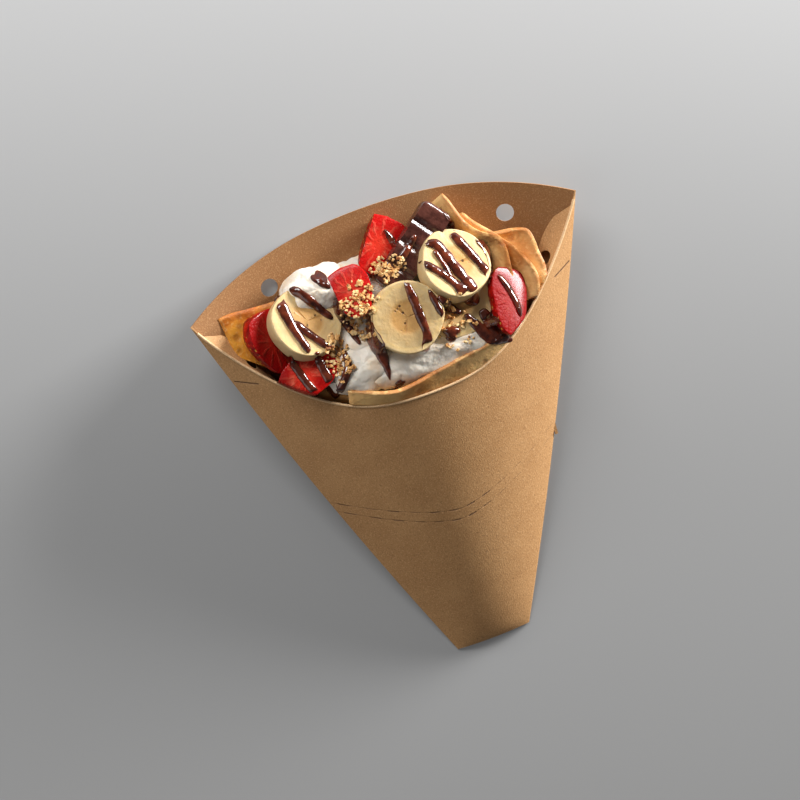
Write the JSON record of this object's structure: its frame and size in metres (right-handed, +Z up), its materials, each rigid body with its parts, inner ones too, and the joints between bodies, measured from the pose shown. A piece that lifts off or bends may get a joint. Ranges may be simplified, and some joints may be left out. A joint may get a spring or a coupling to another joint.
{
  "type": "crepe pouch",
  "caption": "Folded kraft card crepe pouch lying on its back, its open mouth holding a folded crepe with cream, banana, strawberry, chocolate, sauce and nuts.",
  "frame": {"origin": "centre of the footprint, on the surface that the pouch lies on", "axes": "+Y from the tip towards the mouth, +X to the right fold seen from the front, +Z up out of the front panel"},
  "size_m": [0.1784, 0.22, 0.0401],
  "materials": {
    "card": "uncoated kraft card",
    "crepe": "soft browned pancake",
    "banana": "moist fruit flesh",
    "chocolate": "moulded chocolate",
    "strawberry": "wet fruit",
    "sauce": "glossy chocolate sauce",
    "nut": "dry chopped nuts",
    "cream": "soft whipped cream"
  },
  "bodies": {
    "root": {"pouch": "card", "crepe": "crepe", "banana_slice_left": "banana", "banana_slice_centre": "banana", "banana_slice_right_top": "banana", "banana_slice_right_low": "banana", "chocolate_bar": "chocolate", "strawberry_left": "strawberry", "strawberry_front_left": "strawberry", "strawberry_centre_back": "strawberry", "strawberry_top": "strawberry", "strawberry_right": "strawberry", "sauce_left_long": "sauce", "sauce_left_upper": "sauce", "sauce_left_fork": "sauce", "sauce_centre": "sauce", "sauce_right_long": "sauce", "sauce_right_upper": "sauce", "sauce_right_lower": "sauce", "sauce_side_run": "sauce", "sauce_drop_back": "sauce", "sauce_blob": "sauce", "sauce_pool": "sauce", "sauce_drop_front": "sauce", "nut_patch_middle": "nut", "nut_patch_back": "nut", "nut_patch_front": "nut", "whipped_cream": "cream"}
  },
  "joints": []
}
